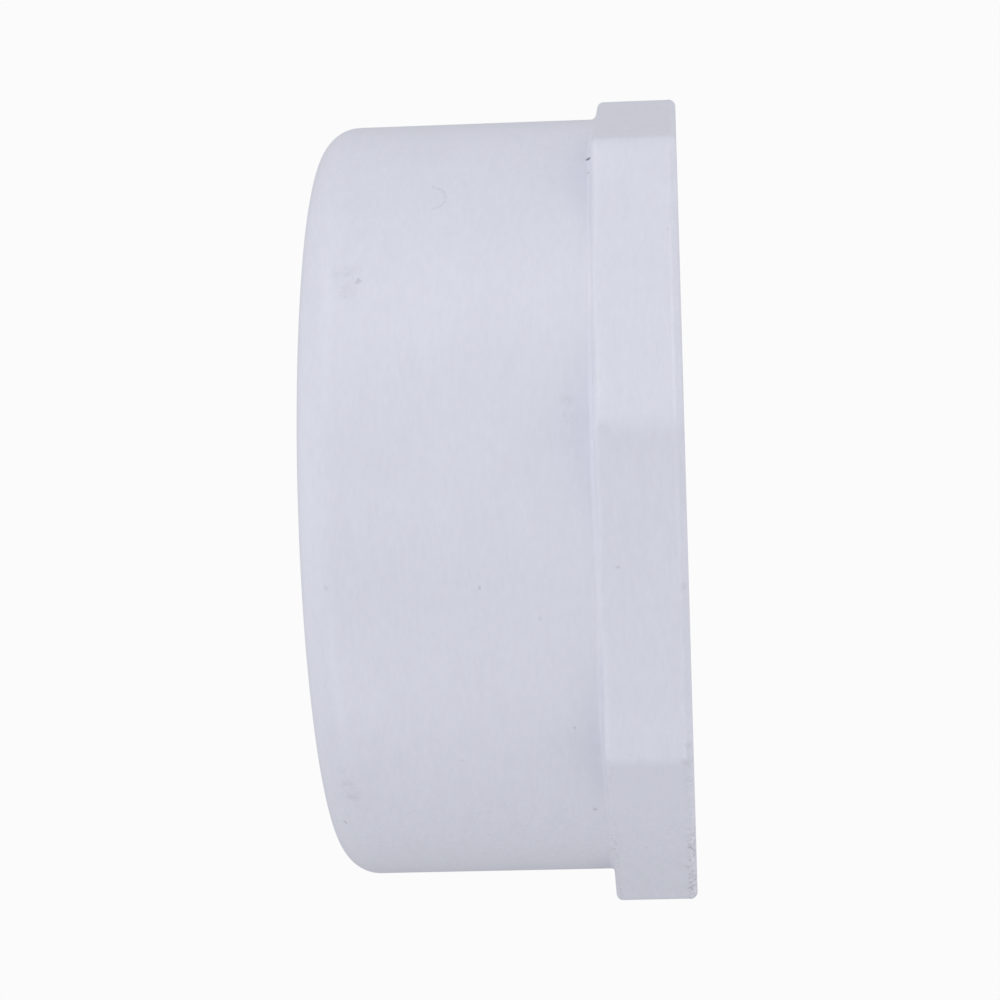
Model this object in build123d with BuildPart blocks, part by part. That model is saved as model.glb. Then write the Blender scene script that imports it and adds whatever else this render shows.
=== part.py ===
"""Two-inch female-threaded pipe cap: a one-piece moulded body and the flat washer it seals on.

The cap stands on its open end. The origin is the centre of the open face and +Z runs along the
bore towards the closed end, so the closed end is up. Lengths are millimetres.
"""

import os
from math import cos, radians, sqrt, tan

from build123d import *

# --- Outside of the body ---
BODY_DIAMETER = 72.4
CAP_HEIGHT = 33.7
END_EDGE_RADIUS = 3.4
FILLET_TO_COLLAR = 0.5

# --- Octagonal wrench collar round the open end ---
COLLAR_SIDES = 8
COLLAR_ACROSS_FLATS = 72.9
COLLAR_HEIGHT = 7.7
COLLAR_CORNER_RADIUS = 2.6
COLLAR_BACK_RADIUS = 0.6
COLLAR_RIM_RADIUS = 0.7

# --- Gate mark at the centre of the closed end ---
GATE_RECESS_DIAMETER = 8.0
GATE_RECESS_DEPTH = 0.4
GATE_STUB_DIAMETER = 2.4
GATE_STUB_HEIGHT = 0.3

# --- Internal parallel pipe thread: 2 inch, 11 turns to the inch, 55 degree form ---
THREAD_PITCH = 25.4 / 11
THREAD_MINOR_DIAMETER = 56.656
THREAD_MAJOR_DIAMETER = 59.614
THREAD_HALF_ANGLE = 55 / 2
THREAD_ROOT_FLAT = THREAD_PITCH / 6
THREAD_END = 21.5
THREAD_LEAD_IN = 0.75 * THREAD_PITCH
THREAD_RUN_OUT = 2.0
MOUTH_DIAMETER = 60.4
CUTTER_OVERLAP = 0.1

# --- Plain recess behind the thread, and the end wall ---
END_WALL = 5.4
RECESS_DIAMETER = 60.0
RECESS_CORNER_RADIUS = 0.3

# --- Flat rubber washer against the inner bottom ---
WASHER_OUTER_DIAMETER = 59.4
WASHER_INNER_DIAMETER = 48.0
WASHER_THICKNESS = 3.0
WASHER_EDGE_CHAMFER = 0.2

# --- Worked out from the above ---
body_r = BODY_DIAMETER / 2
collar_flat_r = COLLAR_ACROSS_FLATS / 2
corner_cut = COLLAR_CORNER_RADIUS * (1 / cos(radians(180 / COLLAR_SIDES)) - 1)
collar_corner_r = collar_flat_r / cos(radians(180 / COLLAR_SIDES)) - corner_cut
minor_r = THREAD_MINOR_DIAMETER / 2
major_r = THREAD_MAJOR_DIAMETER / 2
mouth_r = MOUTH_DIAMETER / 2
recess_r = RECESS_DIAMETER / 2
inner_bottom = CAP_HEIGHT - END_WALL
quarter = sqrt(0.5)


def arc_middle(centre, radius, side_x, side_y):
    """The middle of a quarter arc, on the diagonal given by the signs of side_x and side_y."""
    return (centre[0] + side_x * radius * quarter, centre[1] + side_y * radius * quarter)


with BuildPart() as cap_body:
    # Turned outline: closed end with its round edge, barrel, and the collar as a plain ring
    with BuildSketch(Plane.XZ):
        with BuildLine():
            end_centre = (body_r - END_EDGE_RADIUS, CAP_HEIGHT - END_EDGE_RADIUS)
            neck_centre = (body_r + FILLET_TO_COLLAR, COLLAR_HEIGHT + FILLET_TO_COLLAR)
            back_centre = (collar_corner_r - COLLAR_BACK_RADIUS, COLLAR_HEIGHT - COLLAR_BACK_RADIUS)
            Polyline(
                (0, CAP_HEIGHT),
                (0, 0),
                (collar_corner_r, 0),
                (collar_corner_r, back_centre[1]),
            )
            ThreePointArc(
                (collar_corner_r, back_centre[1]),
                arc_middle(back_centre, COLLAR_BACK_RADIUS, 1, 1),
                (back_centre[0], COLLAR_HEIGHT),
            )
            Line((back_centre[0], COLLAR_HEIGHT), (neck_centre[0], COLLAR_HEIGHT))
            ThreePointArc(
                (neck_centre[0], COLLAR_HEIGHT),
                arc_middle(neck_centre, FILLET_TO_COLLAR, -1, -1),
                (body_r, neck_centre[1]),
            )
            Line((body_r, neck_centre[1]), (body_r, end_centre[1]))
            ThreePointArc(
                (body_r, end_centre[1]),
                arc_middle(end_centre, END_EDGE_RADIUS, 1, 1),
                (end_centre[0], CAP_HEIGHT),
            )
            Line((end_centre[0], CAP_HEIGHT), (0, CAP_HEIGHT))
        make_face()
    revolve(axis=Axis.Z)

    # The octagon cuts the ring down to eight flats. It clears the barrel, which is narrower
    with BuildSketch(Plane.XY):
        RegularPolygon(
            collar_flat_r,
            COLLAR_SIDES,
            major_radius=False,
            rotation=180 / COLLAR_SIDES,
        )
        fillet(vertices(), COLLAR_CORNER_RADIUS)
    extrude(amount=CAP_HEIGHT, mode=Mode.INTERSECT)
    rim = faces().sort_by(Axis.Z)[0]
    fillet(rim.outer_wire().edges(), COLLAR_RIM_RADIUS)

    # Bore: chamfered mouth, thread crests, plain recess and flat inner bottom.
    # It is turned from the -Y side, so its seam is a quarter turn from where the thread starts
    with BuildSketch(Plane(origin=(0, 0, 0), x_dir=(0, -1, 0), z_dir=(-1, 0, 0))):
        with BuildLine():
            corner_centre = (recess_r - RECESS_CORNER_RADIUS, inner_bottom - RECESS_CORNER_RADIUS)
            Polyline(
                (recess_r, corner_centre[1]),
                (recess_r, THREAD_END + recess_r - minor_r),
                (minor_r, THREAD_END),
                (minor_r, mouth_r - minor_r),
                (mouth_r, 0),
                (0, 0),
                (0, inner_bottom),
                (corner_centre[0], inner_bottom),
            )
            ThreePointArc(
                (corner_centre[0], inner_bottom),
                arc_middle(corner_centre, RECESS_CORNER_RADIUS, 1, 1),
                (recess_r, corner_centre[1]),
            )
        make_face()
    revolve(axis=Axis.Z, mode=Mode.SUBTRACT)

    # Thread groove, from below the mouth into the recess, so that it runs out at both ends
    with BuildLine(mode=Mode.PRIVATE) as groove_path:
        Helix(
            pitch=THREAD_PITCH,
            height=THREAD_END + THREAD_LEAD_IN + THREAD_RUN_OUT,
            radius=major_r,
            center=(0, 0, -THREAD_LEAD_IN),
        )
    groove_start = groove_path.line @ 0
    groove_depth = major_r - minor_r + CUTTER_OVERLAP
    groove_mouth = THREAD_ROOT_FLAT + 2 * groove_depth * tan(radians(THREAD_HALF_ANGLE))
    groove_plane = Plane(
        origin=groove_start,
        x_dir=(-1, 0, 0),
        z_dir=groove_path.line % 0,
    )
    with BuildSketch(groove_plane):
        with BuildLine():
            Polyline(
                (0, -THREAD_ROOT_FLAT / 2),
                (0, THREAD_ROOT_FLAT / 2),
                (groove_depth, groove_mouth / 2),
                (groove_depth, -groove_mouth / 2),
                close=True,
            )
        make_face()
    sweep(path=groove_path.line, is_frenet=True, mode=Mode.SUBTRACT)

    # Gate mark: a shallow round recess with the trimmed stub of the sprue standing in it
    with BuildSketch(Plane.XY.offset(CAP_HEIGHT)):
        Circle(GATE_RECESS_DIAMETER / 2)
    extrude(amount=-GATE_RECESS_DEPTH, mode=Mode.SUBTRACT)
    with BuildSketch(Plane.XY.offset(CAP_HEIGHT - GATE_RECESS_DEPTH)):
        Circle(GATE_STUB_DIAMETER / 2)
    extrude(amount=GATE_STUB_HEIGHT)

with BuildPart() as sealing_washer:
    with BuildSketch(Plane.XY.offset(inner_bottom - WASHER_THICKNESS)):
        Circle(WASHER_OUTER_DIAMETER / 2)
        Circle(WASHER_INNER_DIAMETER / 2, mode=Mode.SUBTRACT)
    extrude(amount=WASHER_THICKNESS)
    chamfer(edges().filter_by(GeomType.CIRCLE), WASHER_EDGE_CHAMFER)

cap_body.part.label = "cap_body"
sealing_washer.part.label = "sealing_washer"

os.makedirs("parts", exist_ok=True)
export_step(cap_body.part, "parts/cap_body.step")
export_step(sealing_washer.part, "parts/sealing_washer.step")
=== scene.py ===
"""The looks of a moulded white PVC pipe cap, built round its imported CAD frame.

The cap stands on its open end on the floor, closed end up. Lengths are metres.
"""

import math

import bmesh
import bpy
import numpy as np
from mathutils import Matrix, Vector


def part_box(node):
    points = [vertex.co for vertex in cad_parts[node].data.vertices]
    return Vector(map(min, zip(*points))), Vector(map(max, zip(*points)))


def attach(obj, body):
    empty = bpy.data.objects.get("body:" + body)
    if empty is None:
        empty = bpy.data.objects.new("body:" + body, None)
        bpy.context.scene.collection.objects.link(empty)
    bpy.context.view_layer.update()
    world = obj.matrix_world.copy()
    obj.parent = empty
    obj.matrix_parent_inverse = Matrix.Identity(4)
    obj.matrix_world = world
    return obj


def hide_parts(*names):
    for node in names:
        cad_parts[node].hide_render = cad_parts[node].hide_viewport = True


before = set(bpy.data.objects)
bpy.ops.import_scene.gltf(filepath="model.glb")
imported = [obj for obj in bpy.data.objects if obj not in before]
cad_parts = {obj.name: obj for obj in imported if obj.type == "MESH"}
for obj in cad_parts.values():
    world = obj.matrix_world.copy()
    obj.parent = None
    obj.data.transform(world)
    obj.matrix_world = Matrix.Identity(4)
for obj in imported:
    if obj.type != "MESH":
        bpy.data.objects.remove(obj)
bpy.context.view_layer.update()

MM = 0.001
FULL_TURN = 2 * math.pi

# --- The body's sizes, as on the CAD parts ---
washer_low, washer_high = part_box("sealing_washer")
body_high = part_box("cap_body")[1]
CAP_HEIGHT = body_high.z
FLAT_R = body_high.x
BODY_R = 36.2 * MM
END_EDGE_R = 3.4 * MM
COLLAR_HEIGHT = 7.7 * MM
COLLAR_SIDES = 8
CORNER_R = 2.6 * MM
NECK_FILLET_R = 0.5 * MM
BACK_EDGE_R = 0.6 * MM
RIM_EDGE_R = 0.7 * MM
MOUTH_R = 30.2 * MM
MOUTH_EDGE_R = 0.25 * MM
THREAD_PITCH = 25.4 / 11 * MM
THREAD_MINOR_R = 28.328 * MM
DEPTH_BY_PITCH = 0.640327
ROUND_BY_PITCH = 0.137329
THREAD_DEPTH = DEPTH_BY_PITCH * THREAD_PITCH
THREAD_ROUND_R = ROUND_BY_PITCH * THREAD_PITCH
THREAD_HALF_ANGLE = math.radians(55 / 2)
THREAD_LEAD_IN = 0.75 * THREAD_PITCH
THREAD_END = 21.5 * MM
RECESS_R = 30.0 * MM
RECESS_CORNER_R = 0.3 * MM
INNER_BOTTOM = washer_high.z
GATE_RECESS_R = 4.0 * MM
GATE_RECESS_DEPTH = 0.4 * MM
GATE_RECESS_EDGE_R = 0.15 * MM
GATE_STUB_R = 1.2 * MM
GATE_STUB_HEIGHT = 0.3 * MM
GATE_STUB_EDGE_R = 0.08 * MM
GATE_FLOOR = CAP_HEIGHT - GATE_RECESS_DEPTH
GATE_STUB_TOP = GATE_FLOOR + GATE_STUB_HEIGHT
WASHER_HOLE_R = 24.0 * MM
WASHER_EDGE = 0.3 * MM

# --- The meshes: points along each flat and corner of the collar, and how uneven the faces are ---
FLAT_COLUMNS = 24
WORN_FLAT_COLUMNS = 72
CORNER_COLUMNS = 8
WASHER_COLUMNS = 160
WELD_DISTANCE = 0.001 * MM
BODY_SWAY = 0.025 * MM
WASHER_DISH = 0.04 * MM

# --- The collar's flat that has been knocked about most, counted from the one facing +X ---
WORN_FLAT = 5

# --- The camera: level with the floor, rolled so that the closed end is to the left ---
CAMERA_AZIMUTH = math.radians(13.9)
CAMERA_DISTANCE = 292.1 * MM
CAMERA_HEIGHT = -0.05 * MM
CAMERA_LENS = 108.0
AIM_HEIGHT = 18.15 * MM
AIM_SIDEWAYS = -0.3 * MM
CAMERA_ROLL = math.radians(-1.63)


# ------------------------------------------------------------------ mesh building

def waves(angle, height, seed, turns=5, rises=2.5, count=7):
    """A smooth field from -1 to 1 over the cap, the mean of a few random travelling waves."""
    draw = np.random.default_rng(seed)
    total = np.zeros(np.broadcast(angle, height).shape)
    for _ in range(count):
        around = draw.integers(1, turns + 1)
        along = draw.uniform(-rises, rises) * FULL_TURN / CAP_HEIGHT
        total = total + np.sin(around * angle + along * height + draw.uniform(0, FULL_TURN))
    return total / count


def flat_end_angle():
    """Half the angle that a flat takes up, between its rounded corners, seen from the axis."""
    lateral = (FLAT_R - CORNER_R) * math.tan(math.pi / COLLAR_SIDES)
    return math.atan2(lateral, FLAT_R)


def column_angles(per_flat, per_corner):
    """Angles round the cap, close together on the corners. per_flat has a count for each flat."""
    sector = FULL_TURN / COLLAR_SIDES
    lateral = FLAT_R * math.tan(flat_end_angle())
    out = []
    for side, count in enumerate(per_flat):
        across = np.linspace(-lateral, lateral, count, endpoint=False)
        out.append(side * sector + np.arctan2(across, FLAT_R))
        corner = np.linspace(flat_end_angle(), sector - flat_end_angle(), per_corner, endpoint=False)
        out.append(side * sector + corner)
    return np.concatenate(out)


def octagon_radius(angle):
    """Distance from the axis to the collar's side, with its corners rounded."""
    sector = FULL_TURN / COLLAR_SIDES
    off = np.abs((angle + sector / 2) % sector - sector / 2)
    centre = (FLAT_R - CORNER_R) / math.cos(sector / 2)
    turn = sector / 2 - off
    reach = np.maximum(CORNER_R**2 - (centre * np.sin(turn)) ** 2, 0.0)
    corner = centre * np.cos(turn) + np.sqrt(reach)
    return np.where(off <= flat_end_angle(), FLAT_R / np.cos(off), corner)


def thread_radius(height, angle):
    """The bore's wall in the thread: right-hand, rounded 55 degree form, cut outwards."""
    turns = (height + THREAD_LEAD_IN) / THREAD_PITCH - angle / FULL_TURN
    off = np.abs(turns - np.round(turns)) * THREAD_PITCH
    depth = THREAD_DEPTH / 2 + (THREAD_PITCH / 4 - off) / math.tan(THREAD_HALF_ANGLE)
    tangent = THREAD_ROUND_R * math.cos(THREAD_HALF_ANGLE)
    root = np.sqrt(np.maximum(THREAD_ROUND_R**2 - off**2, 0.0))
    depth = np.where(off < tangent, THREAD_DEPTH - THREAD_ROUND_R + root, depth)
    from_crest = THREAD_PITCH / 2 - off
    crest = np.sqrt(np.maximum(THREAD_ROUND_R**2 - from_crest**2, 0.0))
    depth = np.where(from_crest < tangent, THREAD_ROUND_R - crest, depth)
    return THREAD_MINOR_R + np.clip(depth, 0.0, THREAD_DEPTH)


def straight(first, last, rows, ease=1.0):
    """Rings between two (radius, height) rings, both left out. ease above 1 crowds the first."""
    shares = (np.arange(1, rows + 1) / (rows + 1)) ** ease
    return [
        (first[0] + (last[0] - first[0]) * s, first[1] + (last[1] - first[1]) * s)
        for s in shares
    ]


def arc(centre, radius, start, end, rows):
    """Rings along an arc in the radius-height plane. Angle 0 is outwards and a quarter turn is up."""
    return [
        (centre[0] + radius * math.cos(a), centre[1] + radius * math.sin(a))
        for a in np.linspace(start, end, rows)
    ]


def neck_rings(outer):
    """From the barrel out to the collar: a hollow arc, a ledge and a rounded back edge.

    On the flats the step is smaller than the two arcs, which then meet at a slant.
    """
    step = outer - BODY_R
    turn = np.arccos(1 - np.clip(step / (NECK_FILLET_R + BACK_EDGE_R), 0.0, 1.0))
    ledge = np.maximum(step - NECK_FILLET_R - BACK_EDGE_R, 0.0)
    rings = []
    for a in np.linspace(0, 1, 8):
        radius = BODY_R + NECK_FILLET_R * (1 - np.cos(turn * a))
        rings.append((radius, COLLAR_HEIGHT + NECK_FILLET_R * (np.sin(turn) - np.sin(turn * a))))
    foot = rings[-1][0]
    rings += [(foot + ledge * s, COLLAR_HEIGHT) for s in (0.33, 0.67)]
    for a in np.linspace(1, 0, 7):
        radius = outer - BACK_EDGE_R * (1 - np.cos(turn * a))
        rings.append((radius, COLLAR_HEIGHT - BACK_EDGE_R * (np.sin(turn) - np.sin(turn * a))))
    return rings


def spread(rings, angles):
    """The rings as two arrays, radius and height, with a row a ring and a column an angle."""
    one = np.ones(len(angles))
    return np.array([r * one for r, _ in rings]), np.array([z * one for _, z in rings])


def dent(points, centres, radii, depths):
    """Pushes the points near each centre inwards and up, as small knocks in a moulded edge."""
    for centre, radius, depth in zip(centres, radii, depths):
        near = np.linalg.norm(points - centre, axis=-1) / radius
        share = np.clip(1 - near**2, 0.0, 1.0) ** 2
        inward = -centre / np.linalg.norm(centre)
        inward[2] = 0.5
        points += share[..., None] * depth * inward
    return points


def weld(mesh):
    """Joins the points of rings that meet, as where the collar's ledge runs out on the flats."""
    welded = bmesh.new()
    welded.from_mesh(mesh)
    bmesh.ops.remove_doubles(welded, verts=welded.verts, dist=WELD_DISTANCE)
    welded.to_mesh(mesh)
    welded.free()


def revolved(name, points, tips=None):
    """A closed mesh from rings of points.

    tips are the two heights where it closes on the axis, before the first ring and after the
    last. Without them the last ring joins the first one, as on a washer.
    """
    rows, columns = points.shape[:2]
    vertices = points.reshape(-1, 3).tolist()
    pairs = [(j, (j + 1) % columns) for j in range(columns)]
    faces = []
    for i in range(rows - 1 if tips else rows):
        a, b = i * columns, (i + 1) % rows * columns
        faces += [(a + j, b + j, b + k, a + k) for j, k in pairs]
    if tips:
        vertices += [[0, 0, height] for height in tips]
        start, last = rows * columns, (rows - 1) * columns
        faces += [(start, j, k) for j, k in pairs]
        faces += [(last + j, start + 1, last + k) for j, k in pairs]
    mesh = bpy.data.meshes.new(name)
    mesh.from_pydata(vertices, [], faces)
    weld(mesh)
    mesh.shade_smooth()
    piece = bpy.data.objects.new(name, mesh)
    bpy.context.scene.collection.objects.link(piece)
    return piece


def in_space(radius, height, angles):
    """The points at those radii, heights and angles round the axis."""
    return np.stack([radius * np.cos(angles), radius * np.sin(angles), height], axis=-1)


# ------------------------------------------------------------------ the cap's body

def closed_end_rings():
    """The gate's stub, the shallow recess round it, and the flat of the closed end."""
    stub_corner = (GATE_STUB_R - GATE_STUB_EDGE_R, GATE_STUB_TOP - GATE_STUB_EDGE_R - 0.01 * MM)
    rings = [(0.45 * MM, GATE_STUB_TOP), (0.85 * MM, GATE_STUB_TOP - 0.01 * MM)]
    rings += arc(stub_corner, GATE_STUB_EDGE_R, math.pi / 2, 0, 4)
    rings += [(GATE_STUB_R + 0.02 * MM, GATE_FLOOR + 0.06 * MM)]
    rings += [(r * MM, GATE_FLOOR) for r in (1.32, 1.8, 2.5, 3.2, 3.7)]
    rings += [(GATE_RECESS_R - 0.08 * MM, GATE_FLOOR + 0.04 * MM)]
    rings += [(GATE_RECESS_R, GATE_FLOOR + GATE_RECESS_EDGE_R)]
    lip = (GATE_RECESS_R + GATE_RECESS_EDGE_R, CAP_HEIGHT - GATE_RECESS_EDGE_R)
    rings += arc(lip, GATE_RECESS_EDGE_R, math.pi, math.pi / 2, 5)
    rings += straight(rings[-1], (BODY_R - END_EDGE_R, CAP_HEIGHT), 14)
    return rings


def outside_rings(side):
    """The closed end, its round edge, the barrel, the neck and the collar's sides."""
    end_corner = (BODY_R - END_EDGE_R, CAP_HEIGHT - END_EDGE_R)
    neck = neck_rings(side)
    rings = closed_end_rings()
    rings += arc(end_corner, END_EDGE_R, math.pi / 2, 0, 16)
    rings += straight(rings[-1], neck[0], 26)
    rings += neck
    rings += straight((side, RIM_EDGE_R), neck[-1], 12, ease=1.7)[::-1]
    return rings


def rim_rings(side):
    """The rounded edge round the open end, its flat face, and the start of the mouth's chamfer."""
    rings = [
        (side - RIM_EDGE_R * (1 - math.cos(a)), RIM_EDGE_R * (1 - math.sin(a)))
        for a in np.linspace(0, math.pi / 2, 8)
    ]
    mouth = (MOUTH_R + MOUTH_EDGE_R, 0.0)
    rings += straight(rings[-1], mouth, 5)
    rings += [mouth, (MOUTH_R + 0.06 * MM, 0.02 * MM)]
    return rings


def bore_rings(angles):
    """The mouth's chamfer, the thread, the recess behind it and the inner bottom."""
    top_of_cone = THREAD_END + RECESS_R - THREAD_MINOR_R
    heights = np.arange(0.12 * MM, top_of_cone, THREAD_PITCH / 14)
    rings = []
    for z in heights:
        mouth = MOUTH_R - z
        recess = min(RECESS_R, THREAD_MINOR_R + z - THREAD_END)
        rings.append((np.maximum(thread_radius(z, angles), max(mouth, recess)), z))
    corner = (RECESS_R - RECESS_CORNER_R, INNER_BOTTOM - RECESS_CORNER_R)
    rings += straight((RECESS_R, top_of_cone), (RECESS_R, corner[1]), 5)
    rings += arc(corner, RECESS_CORNER_R, 0, math.pi / 2, 5)
    rings += straight(rings[-1], (0, INNER_BOTTOM), 14)
    return rings


def knocks():
    """Centres, radii and depths of small dents along the rim, most of them on the worn flat."""
    draw = np.random.default_rng(11)
    sector = FULL_TURN / COLLAR_SIDES
    worn = (WORN_FLAT + draw.uniform(-0.5, 0.1, 34)) * sector
    angles = np.concatenate([worn, draw.uniform(0, FULL_TURN, 14)])
    heights = draw.uniform(0.0, 0.75, len(angles)) * MM
    radii = draw.uniform(0.35, 0.65, len(angles)) * MM
    depths = draw.uniform(0.04, 0.12, len(angles)) * MM
    reach = octagon_radius(angles) - 0.1 * MM
    return in_space(reach, heights, angles), radii, depths


def make_cap_body():
    """The moulding: closed end, barrel, collar and threaded bore, with knocks along the rim."""
    per_flat = [FLAT_COLUMNS] * COLLAR_SIDES
    per_flat[WORN_FLAT] = WORN_FLAT_COLUMNS
    angles = column_angles(per_flat, CORNER_COLUMNS)
    side = octagon_radius(angles)
    outside = outside_rings(side)
    radius, height = spread(outside + rim_rings(side) + bore_rings(angles), angles)

    sway = BODY_SWAY * (waves(angles, height, seed=3) - 1)
    sway[len(outside):] = 0.0
    radius += sway * (radius > GATE_RECESS_R * 2)
    points = dent(in_space(radius, height, angles), *knocks())
    return revolved("moulded_body", points, tips=(GATE_STUB_TOP, INNER_BOTTOM))


# ------------------------------------------------------------------ the washer

def make_washer():
    """The flat washer: rounded edges, and faces that dish a little as rubber does."""
    angles = np.linspace(0, FULL_TURN, WASHER_COLUMNS, endpoint=False)
    outer, inner = washer_high.x, WASHER_HOLE_R
    low, high = washer_low.z, washer_high.z
    rings = arc((outer - WASHER_EDGE, high - WASHER_EDGE), WASHER_EDGE, math.pi / 2, 0, 5)
    rings += straight(rings[-1], (outer, low + WASHER_EDGE), 3)
    rings += arc((outer - WASHER_EDGE, low + WASHER_EDGE), WASHER_EDGE, 0, -math.pi / 2, 5)
    rings += straight(rings[-1], (inner + WASHER_EDGE, low), 9)
    rings += arc((inner + WASHER_EDGE, low + WASHER_EDGE), WASHER_EDGE, -math.pi / 2, -math.pi, 5)
    rings += straight(rings[-1], (inner, high - WASHER_EDGE), 3)
    rings += arc((inner + WASHER_EDGE, high - WASHER_EDGE), WASHER_EDGE, math.pi, math.pi / 2, 5)
    rings += straight(rings[-1], (outer - WASHER_EDGE, high), 9)
    radius, height = spread(rings, angles)
    middle = (low + high) / 2
    dish = WASHER_DISH * (1 + waves(angles, height, seed=5))
    height += np.sign(middle - height) * dish * (np.abs(height - middle) > 1.2 * MM)
    return revolved("rubber_washer", in_space(radius, height, angles))


cap_body = make_cap_body()
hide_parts("cap_body")
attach(cap_body, "root")

washer = make_washer()
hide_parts("sealing_washer")
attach(washer, "root")


# ------------------------------------------------------------------ materials

class Graph:
    """A material's node tree, with short ways to add the nodes used here."""

    def __init__(self, name):
        self.material = bpy.data.materials.new(name)
        self.material.use_nodes = True
        self.nodes = self.material.node_tree.nodes
        self.links = self.material.node_tree.links
        self.shader = self.nodes["Principled BSDF"]
        self.place = self.add("ShaderNodeTexCoord").outputs["Object"]

    def add(self, kind, inputs=None, **settings):
        """A node, with its settings, and with its inputs set to values or linked to sockets."""
        node = self.nodes.new(kind)
        for key, value in settings.items():
            setattr(node, key, value)
        for key, value in (inputs or {}).items():
            self.feed(node.inputs[key], value)
        return node

    def feed(self, socket, value):
        """Links the socket to another one, or sets its value."""
        if isinstance(value, bpy.types.NodeSocket):
            self.links.new(value, socket)
        else:
            socket.default_value = value

    def math(self, operation, a, b=0.0, c=0.0):
        """Arithmetic on one, two or three values."""
        return self.add("ShaderNodeMath", {0: a, 1: b, 2: c}, operation=operation).outputs[0]

    def vector(self, operation, a, b=(0, 0, 0)):
        """Vector arithmetic. A dot product, a distance and a length come out as one value."""
        node = self.add("ShaderNodeVectorMath", {0: a, 1: b}, operation=operation)
        one_value = operation in ("DOT_PRODUCT", "DISTANCE", "LENGTH")
        return node.outputs["Value" if one_value else "Vector"]

    def ramp(self, value, low, high, to_low=0.0, to_high=1.0):
        """value, stretched smoothly from the range low..high to to_low..to_high, and clamped."""
        inputs = {"Value": value, "From Min": low, "From Max": high}
        inputs |= {"To Min": to_low, "To Max": to_high}
        node = self.add("ShaderNodeMapRange", inputs, interpolation_type="SMOOTHSTEP")
        return node.outputs["Result"]

    def noise(self, vector, size, detail=3.0, roughness=0.5):
        """Smooth noise about 0.5, with features of about that size."""
        inputs = {"Vector": vector, "Scale": 1 / size, "Detail": detail, "Roughness": roughness}
        return self.add("ShaderNodeTexNoise", inputs).outputs["Fac"]

    def dots(self, vector, size, dot, share, seed):
        """1 in small dots that fade to 0 round them, one in each of a share of cells of that size."""
        shifted = self.vector("ADD", vector, (seed, seed, seed))
        cell = self.add("ShaderNodeTexVoronoi", {"Vector": shifted, "Scale": 1 / size})
        away = self.math("MULTIPLY", cell.outputs["Distance"], size)
        near = self.ramp(away, dot * 0.5, dot, 1, 0)
        pick = self.add("ShaderNodeSeparateColor", {0: cell.outputs["Color"]}).outputs[0]
        chosen = self.math("LESS_THAN", pick, share)
        return self.math("MULTIPLY", near, chosen)

    def shaken(self, size, reach):
        """The place, moved about by noise of that size and reach, so that marks get ragged edges."""
        inputs = {"Vector": self.place, "Scale": 1 / size, "Detail": 2.0}
        noise = self.add("ShaderNodeTexNoise", inputs).outputs["Color"]
        centred = self.vector("SUBTRACT", noise, (0.5, 0.5, 0.5))
        scaled = self.vector("MULTIPLY", centred, (2 * reach, 2 * reach, 2 * reach))
        return self.vector("ADD", self.place, scaled)

    def radius(self):
        """The distance from the cap's axis."""
        return self.vector("LENGTH", self.vector("MULTIPLY", self.place, (1, 1, 0)))

    def mix(self, factor, a, b):
        """The colour a where the factor is 0, and b where it is 1."""
        node = self.add("ShaderNodeMix", data_type="RGBA")
        self.feed(node.inputs["Factor"], factor)
        self.feed(node.inputs[6], a)
        self.feed(node.inputs[7], b)
        return node.outputs[2]


def outside_radius(angle, height):
    """The distance from the axis to the outside of the cap, at an angle and a height."""
    side = float(octagon_radius(np.array(angle)))
    if height < RIM_EDGE_R:
        return side - RIM_EDGE_R + math.sqrt(RIM_EDGE_R**2 - (RIM_EDGE_R - height) ** 2)
    if height < COLLAR_HEIGHT - BACK_EDGE_R:
        return side
    if height < COLLAR_HEIGHT + NECK_FILLET_R:
        neck = sorted((float(z), float(r)) for r, z in neck_rings(np.array(side)))
        return float(np.interp(height, [z for z, _ in neck], [r for _, r in neck]))
    over = max(height - (CAP_HEIGHT - END_EDGE_R), 0)
    return BODY_R - END_EDGE_R + math.sqrt(END_EDGE_R**2 - over**2)


def on_outside(degrees, height):
    """The point on the outside of the cap at an angle from +X and a height."""
    a = math.radians(degrees)
    r = outside_radius(a, height)
    return (r * math.cos(a), r * math.sin(a), height)


# Marks from handling on the most seen side: angle in degrees, height, radius, and how dark
SMUDGES = (
    (-42.5, 29.9 * MM, 1.3 * MM, 0.10),
    (-45.5, 29.2 * MM, 1.5 * MM, 0.12),
    (-42.0, 28.8 * MM, 1.1 * MM, 0.08),
    (-63.0, 10.0 * MM, 0.9 * MM, 0.10),
    (-65.5, 9.9 * MM, 1.0 * MM, 0.08),
    (-68.0, 6.8 * MM, 0.9 * MM, 0.08),
    (-64.0, 4.4 * MM, 0.7 * MM, 0.06),
    (-117.5, 31.3 * MM, 0.7 * MM, 0.08),
    (-120.5, 30.9 * MM, 1.2 * MM, 0.12),
    (-123.0, 30.6 * MM, 1.3 * MM, 0.12),
)
SPECKS = (
    (-44.0, 28.1 * MM, 0.40 * MM, 0.26),
    (-19.0, 8.0 * MM, 0.35 * MM, 0.95),
    (-23.0, 8.0 * MM, 0.25 * MM, 0.35),
    (-86.0, 6.0 * MM, 0.20 * MM, 0.25),
    (-88.0, 31.2 * MM, 0.35 * MM, 0.16),
    (-88.5, 17.9 * MM, 0.25 * MM, 0.25),
    (-93.0, 12.8 * MM, 0.20 * MM, 0.16),
    (-110.5, 10.3 * MM, 0.25 * MM, 0.28),
    (-116.0, 20.4 * MM, 0.20 * MM, 0.15),
    (-127.5, 9.0 * MM, 0.30 * MM, 0.30),
    (-130.5, 31.8 * MM, 0.30 * MM, 0.38),
)
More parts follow.
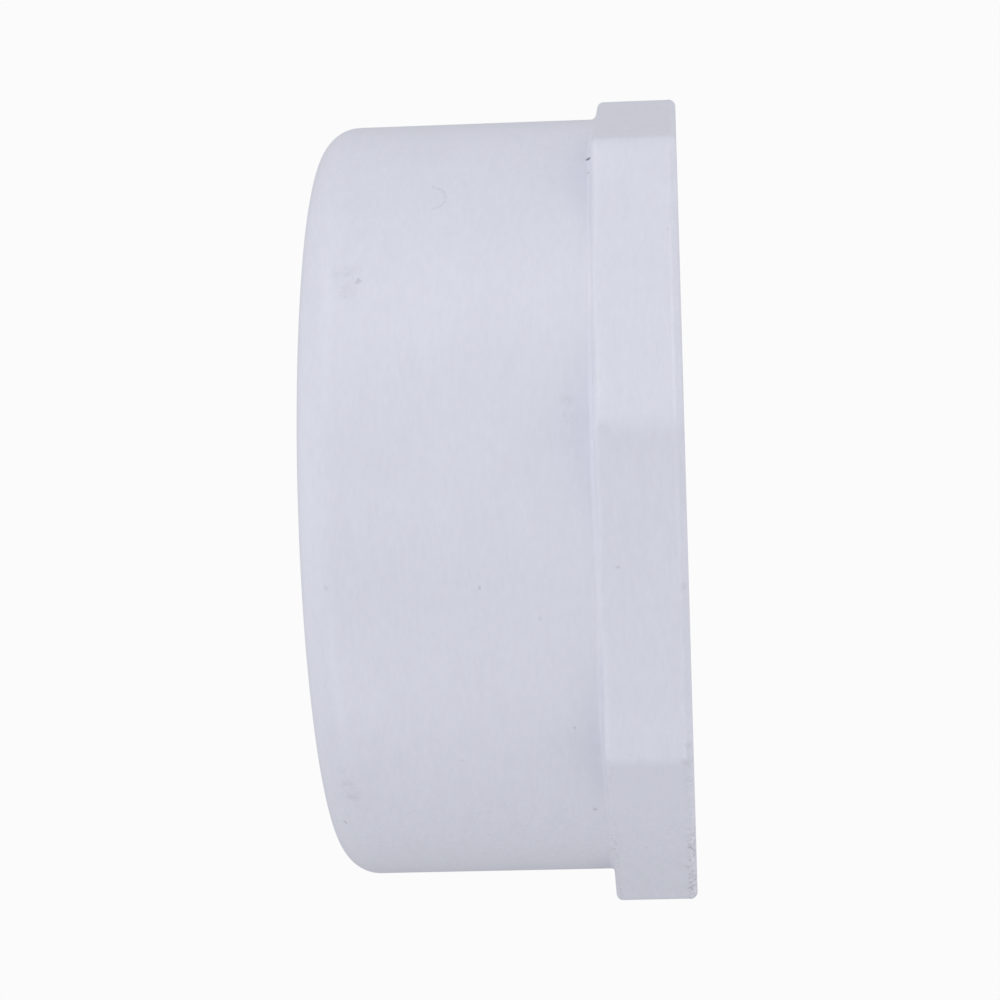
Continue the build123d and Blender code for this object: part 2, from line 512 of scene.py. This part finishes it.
RIM_PITS = (
    (-89.0, 0.4 * MM, 0.50 * MM, 0.10),
    (-110.5, 0.4 * MM, 0.50 * MM, 0.14),
    (-113.0, 0.5 * MM, 0.80 * MM, 0.15),
    (-139.5, 0.5 * MM, 0.45 * MM, 0.20),
    (-146.0, 0.8 * MM, 0.40 * MM, 0.15),
    (-153.0, 0.6 * MM, 0.35 * MM, 0.15),
)
# A thin hair stuck in the surface, part of a circle: the circle's centre and radius, the hair's
# strength and half its width, and the height above which the circle is left out
HAIR_CENTRE = (-28.0, 22.5 * MM)
HAIR_CURVE = 1.75 * MM
HAIR_STRENGTH = 0.12
HAIR_HALF_WIDTH = 0.2 * MM
HAIR_TOP = 21.9 * MM

# The colours, and how much of the dirt colour each thing brings in. The dirt colour also paints the
# light and shade across the worn flat
PVC_COLOR = (0.725, 0.740, 0.842, 1)
DIRT_AND_SHADE_COLOR = (0.17, 0.17, 0.19, 1)
BASE_DIRT = 0.05
FINE_STREAKS = 0.12
BROAD_STREAKS = 0.06
CLOUDS = 0.06
EDGE_WEAR = 0.40
RUBBER_COLOR = (0.022, 0.022, 0.023, 1)
DUST_COLOR = (0.06, 0.06, 0.06, 1)
FLOOR_COLORS = ((0.90, 0.90, 0.90, 1), (0.92, 0.92, 0.92, 1))
BACKDROP_COLOR = (0.965, 0.965, 0.965, 1)


def moulding_streaks(g):
    """Faint streaks round the cap, concentric on its end, and broader clouds, all about zero."""
    xyz = g.add("ShaderNodeSeparateXYZ", {0: g.place}).outputs
    along = g.math("SUBTRACT", xyz[2], g.math("MINIMUM", g.radius(), BODY_R))
    x, y = (g.math("MULTIPLY", xyz[i], 0.3) for i in (0, 1))
    drawn = g.add("ShaderNodeCombineXYZ", {0: x, 1: y, 2: along}).outputs[0]
    fine = g.math("SUBTRACT", g.noise(drawn, 0.36 * MM, 3.0, 0.55), 0.5)
    broad = g.math("SUBTRACT", g.noise(drawn, 1.1 * MM, 2.0), 0.5)
    clouds = g.math("SUBTRACT", g.noise(g.place, 7 * MM, 3.0), 0.5)
    return fine, broad, clouds


def worn_side(g, narrow, wide):
    """1 round the worn flat, fading to 0 between those two angles from its middle."""
    turn = WORN_FLAT * FULL_TURN / COLLAR_SIDES
    towards = (math.cos(turn), math.sin(turn), 0)
    share = g.math("DIVIDE", g.vector("DOT_PRODUCT", g.place, towards), g.radius())
    return g.ramp(share, math.cos(math.radians(wide)), math.cos(math.radians(narrow)))


def along_worn_flat(g):
    """How far a place lies along the worn flat, from its middle towards the next flat."""
    turn = WORN_FLAT * FULL_TURN / COLLAR_SIDES
    onward = (-math.sin(turn), math.cos(turn), 0)
    return g.vector("DOT_PRODUCT", g.place, onward)


def worn_flat_painted_shade(g, height):
    """The worn flat: painted light and shade, paler towards one end and darker towards the other."""
    tone = g.ramp(along_worn_flat(g), -15 * MM, 12 * MM, 0.04, -0.05)
    collar = g.ramp(height, 7.3 * MM, 7.8 * MM, 1, 0)
    outside = g.ramp(g.radius(), BODY_R, BODY_R + 0.3 * MM)
    on_collar = g.math("MULTIPLY", collar, outside)
    return g.math("MULTIPLY", g.math("MULTIPLY", tone, worn_side(g, 19, 24)), on_collar)


def edge_wear(g, height):
    """Ragged pits along the collar's two edges, most of them on the worn side."""
    pits = g.ramp(g.noise(g.place, 0.34 * MM, 3.0, 0.6), 0.53, 0.61)
    outer = g.ramp(g.radius(), BODY_R - 1.0 * MM, BODY_R)
    rim = g.ramp(height, 0.5 * MM, 1.1 * MM, 1, 0)
    off_ridge = g.math("ABSOLUTE", g.math("SUBTRACT", height, COLLAR_HEIGHT - 0.2 * MM))
    ridge = g.ramp(off_ridge, 0.15 * MM, 0.5 * MM, 0.5, 0)
    edges = g.math("MULTIPLY", g.math("MAXIMUM", rim, ridge), outer)
    worst = g.ramp(along_worn_flat(g), -3 * MM, 3 * MM, 0.9, 0.25)
    worn = g.math("MULTIPLY_ADD", worn_side(g, 20, 27), worst, 0.07)
    return g.math("MULTIPLY", g.math("MULTIPLY", pits, edges), worn)


def specks(g, ragged, height):
    """Fine dark specks all over, more of them on the worn side and on the closed end."""
    few = g.dots(ragged, 3.0 * MM, 0.22 * MM, 0.30, 0.31)
    many = g.dots(ragged, 1.4 * MM, 0.20 * MM, 0.45, 0.77)
    end = g.ramp(height, CAP_HEIGHT - 3.5 * MM, CAP_HEIGHT - 2 * MM, 0.0, 0.45)
    worn = worn_side(g, 6, 12)
    crowded = g.math("MULTIPLY", many, g.math("MAXIMUM", worn, end))
    total = g.math("MULTIPLY_ADD", crowded, 0.08, g.math("MULTIPLY", few, 0.09))
    rough = g.math("SUBTRACT", g.noise(g.place, 0.4 * MM, 3.0, 0.6), 0.5)
    return g.math("MULTIPLY_ADD", g.math("MULTIPLY", rough, worn), 0.13, total)


def hair(g, ragged, height):
    """The hair, as the part below HAIR_TOP of a circle drawn on the barrel."""
    from_centre = g.vector("DISTANCE", ragged, on_outside(*HAIR_CENTRE))
    off = g.math("ABSOLUTE", g.math("SUBTRACT", from_centre, HAIR_CURVE))
    line = g.ramp(off, HAIR_HALF_WIDTH * 0.2, HAIR_HALF_WIDTH, HAIR_STRENGTH, 0)
    return g.math("MULTIPLY", line, g.ramp(height, HAIR_TOP, HAIR_TOP + 0.2 * MM, 1, 0))


def marks(g, ragged, height):
    """The listed smudges, specks and rim pits, and the hair, added up."""
    grains = g.ramp(g.noise(g.place, 0.4 * MM, 3.0, 0.6), 0.38, 0.62, 0.25, 1.0)
    total = hair(g, ragged, height)
    for degrees, at, size, strength in SMUDGES:
        away = g.vector("DISTANCE", ragged, on_outside(degrees, at))
        mark = g.ramp(away, size * 0.1, size, strength, 0.0)
        total = g.math("MULTIPLY_ADD", mark, grains, total)
    for degrees, at, size, strength in SPECKS + RIM_PITS:
        away = g.vector("DISTANCE", ragged, on_outside(degrees, at))
        mark = g.ramp(away, size * 0.15, size * 1.1, strength, 0.0)
        total = g.math("ADD", total, mark)
    return total


def pvc_dirt_and_painted_shade(g, height, fine, broad, clouds, wear):
    """How much of the dirt-and-shade colour shows at each place, from 0 to 1: dirt and wear, and the
    painted light and shade across the worn flat.
    """
    ragged = g.shaken(0.4 * MM, 0.35 * MM)
    dirt_and_shade = g.math("MULTIPLY_ADD", fine, FINE_STREAKS, BASE_DIRT)
    dirt_and_shade = g.math("MULTIPLY_ADD", broad, BROAD_STREAKS, dirt_and_shade)
    dirt_and_shade = g.math("MULTIPLY_ADD", clouds, CLOUDS, dirt_and_shade)
    dirt_and_shade = g.math("MULTIPLY_ADD", wear, EDGE_WEAR, dirt_and_shade)
    # painted light and shade across the worn flat: paler at one end, darker at the other
    dirt_and_shade = g.math("ADD", dirt_and_shade, worn_flat_painted_shade(g, height))
    dirt_and_shade = g.math("ADD", dirt_and_shade, specks(g, ragged, height))
    dirt_and_shade = g.math("ADD", dirt_and_shade, marks(g, ragged, height))
    return g.math("MINIMUM", g.math("MAXIMUM", dirt_and_shade, 0.0), 1.0)


def make_pvc():
    """White rigid PVC: satin, with streaks in colour and relief, wear along edges, marks, and painted
    light and shade across the worn flat.
    """
    g = Graph("moulded_pvc")
    height = g.add("ShaderNodeSeparateXYZ", {0: g.place}).outputs["Z"]
    fine, broad, clouds = moulding_streaks(g)
    wear = edge_wear(g, height)
    dirt_and_shade = pvc_dirt_and_painted_shade(g, height, fine, broad, clouds, wear)
    g.feed(g.shader.inputs["Base Color"], g.mix(dirt_and_shade, PVC_COLOR, DIRT_AND_SHADE_COLOR))

    g.feed(g.shader.inputs["Roughness"], g.math("MULTIPLY_ADD", clouds, 0.12, 0.45))
    g.shader.inputs["IOR"].default_value = 1.53
    relief = g.math("MULTIPLY_ADD", wear, -2.0, fine)
    relief = g.math("MULTIPLY_ADD", g.noise(g.place, 0.22 * MM, 2.0), 0.35, relief)
    bump = g.add("ShaderNodeBump", {"Strength": 0.35, "Distance": 0.03 * MM, "Height": relief})
    g.feed(g.shader.inputs["Normal"], bump.outputs["Normal"])
    return g.material


def make_rubber():
    """Black rubber: fine turned rings, a grain, and a little pale dust."""
    g = Graph("washer_rubber")
    rings = g.math("SINE", g.math("MULTIPLY", g.radius(), FULL_TURN / (0.8 * MM)))
    grain = g.noise(g.place, 0.25 * MM, 3.0)
    dust = g.ramp(g.noise(g.place, 1.6 * MM, 5.0, 0.7), 0.45, 0.80)
    g.feed(g.shader.inputs["Base Color"], g.mix(dust, RUBBER_COLOR, DUST_COLOR))
    g.feed(g.shader.inputs["Roughness"], g.math("MULTIPLY_ADD", dust, 0.2, 0.6))
    height = g.math("MULTIPLY_ADD", rings, 0.15, grain)
    bump = g.add("ShaderNodeBump", {"Strength": 0.7, "Distance": 0.06 * MM, "Height": height})
    g.feed(g.shader.inputs["Normal"], bump.outputs["Normal"])
    return g.material


def make_floor_material():
    """Pale and matt. Seen from below it lets the view through, so that the underside shows."""
    g = Graph("studio_floor")
    shade = g.noise(g.place, 200 * MM, 2.0)
    g.feed(g.shader.inputs["Base Color"], g.mix(shade, *FLOOR_COLORS))
    g.shader.inputs["Roughness"].default_value = 0.9
    g.shader.inputs["Specular IOR Level"].default_value = 0.0
    see_through = g.add("ShaderNodeBsdfTransparent").outputs[0]
    back = g.add("ShaderNodeNewGeometry").outputs["Backfacing"]
    both = g.add("ShaderNodeMixShader", {0: back, 1: g.shader.outputs[0], 2: see_through})
    g.feed(g.nodes["Material Output"].inputs["Surface"], both.outputs[0])
    return g.material


cap_body.data.materials.append(make_pvc())
washer.data.materials.append(make_rubber())


# ------------------------------------------------------------------ the studio

# Azimuths and elevations are in degrees: azimuth 0 is -Y and azimuth 90 is +X.
# Even light from the room, and more of it from round a few directions: azimuth, elevation, strength
ROOM_LIGHT = 0.24
ROOM_LOBES = (
    (0, 90, 0.78),
    (0, -90, 1.10),
    (14, 0, 0.26),
    (104, 0, 0.20),
)
# Soft round lights, all as far off and as wide: name, azimuth, elevation, power in watts
LIGHT_DISTANCE = 0.9
LIGHT_WIDTH = 0.5
LIGHTS = (
    ("front", 14, 20, 0.27),
    ("right", 74, 20, 2.0),
    ("left", -46, 20, 1.72),
)
FLOOR_REACH = 4.0


def make_floor():
    """A plain square at height 0, which takes no part in lighting the cap."""
    mesh = bpy.data.meshes.new("floor")
    signs = ((-1, -1), (1, -1), (1, 1), (-1, 1))
    corners = [(x * FLOOR_REACH, y * FLOOR_REACH, 0) for x, y in signs]
    mesh.from_pydata(corners, [], [(0, 1, 2, 3)])
    floor = bpy.data.objects.new("floor", mesh)
    bpy.context.scene.collection.objects.link(floor)
    mesh.materials.append(make_floor_material())
    floor.visible_diffuse = False
    floor.visible_glossy = False
    floor.visible_shadow = False


def make_light(name, azimuth, elevation, power):
    """A round soft light in that direction from the cap, aimed at the origin."""
    data = bpy.data.lights.new(name, "AREA")
    data.shape = "DISK"
    data.size = LIGHT_WIDTH
    data.energy = power
    light = bpy.data.objects.new(name, data)
    light.location = LIGHT_DISTANCE * direction_to(azimuth, elevation)
    light.rotation_euler = light.location.to_track_quat("Z", "Y").to_euler()
    bpy.context.scene.collection.objects.link(light)


def direction_to(azimuth, elevation):
    """The direction from the cap to a place round it."""
    a, e = math.radians(azimuth), math.radians(elevation)
    return Vector((math.sin(a) * math.cos(e), -math.cos(a) * math.cos(e), math.sin(e)))


def world_lobe(nodes, links, azimuth, elevation, strength):
    """Light from round one direction, fading to nothing at right angles to it."""
    direction = nodes.new("ShaderNodeTexCoord").outputs["Generated"]
    facing = nodes.new("ShaderNodeVectorMath")
    facing.operation = "DOT_PRODUCT"
    links.new(direction, facing.inputs[0])
    facing.inputs[1].default_value = direction_to(azimuth, elevation)
    ramp = nodes.new("ShaderNodeMapRange")
    ramp.inputs["To Max"].default_value = strength
    links.new(facing.outputs["Value"], ramp.inputs["Value"])
    return ramp.outputs[0]


def make_world():
    """A soft white room. The camera itself sees it as plain pale paper."""
    world = bpy.data.worlds.new("studio")
    bpy.context.scene.world = world
    world.use_nodes = True
    nodes, links = world.node_tree.nodes, world.node_tree.links
    seen = nodes["Background"]
    seen.inputs["Color"].default_value = BACKDROP_COLOR
    lit = nodes.new("ShaderNodeBackground")
    total = nodes.new("ShaderNodeMath")
    total.inputs[0].default_value = ROOM_LIGHT
    total.inputs[1].default_value = 0.0
    for lobe in ROOM_LOBES:
        more = nodes.new("ShaderNodeMath")
        links.new(world_lobe(nodes, links, *lobe), more.inputs[0])
        links.new(total.outputs[0], more.inputs[1])
        total = more
    links.new(total.outputs[0], lit.inputs["Strength"])
    choose = nodes.new("ShaderNodeMixShader")
    links.new(nodes.new("ShaderNodeLightPath").outputs["Is Camera Ray"], choose.inputs[0])
    links.new(lit.outputs[0], choose.inputs[1])
    links.new(seen.outputs[0], choose.inputs[2])
    links.new(choose.outputs[0], nodes["World Output"].inputs["Surface"])


def make_camera():
    """Level with the open end, and turned so that the closed end points to the left."""
    back = Vector((math.sin(CAMERA_AZIMUTH), -math.cos(CAMERA_AZIMUTH), 0))
    sideways = Vector((math.cos(CAMERA_AZIMUTH), math.sin(CAMERA_AZIMUTH), 0))
    place = back * CAMERA_DISTANCE + Vector((0, 0, CAMERA_HEIGHT))
    aim = Vector((0, 0, AIM_HEIGHT)) + sideways * AIM_SIDEWAYS
    forward = (aim - place).normalized()
    up = (sideways - forward * forward.dot(sideways)).normalized()
    right = forward.cross(up)
    turn = Matrix((right, up, -forward)).transposed()
    roll = Matrix.Rotation(CAMERA_ROLL, 3, "Z")
    data = bpy.data.cameras.new("camera")
    data.lens = CAMERA_LENS
    data.clip_start = 0.05
    data.clip_end = 20
    camera = bpy.data.objects.new("camera", data)
    camera.matrix_world = Matrix.Translation(place) @ (turn @ roll).to_4x4()
    bpy.context.scene.collection.objects.link(camera)
    bpy.context.scene.camera = camera


make_floor()
make_world()
for light in LIGHTS:
    make_light(*light)
make_camera()
bpy.context.scene.view_settings.view_transform = "Standard"
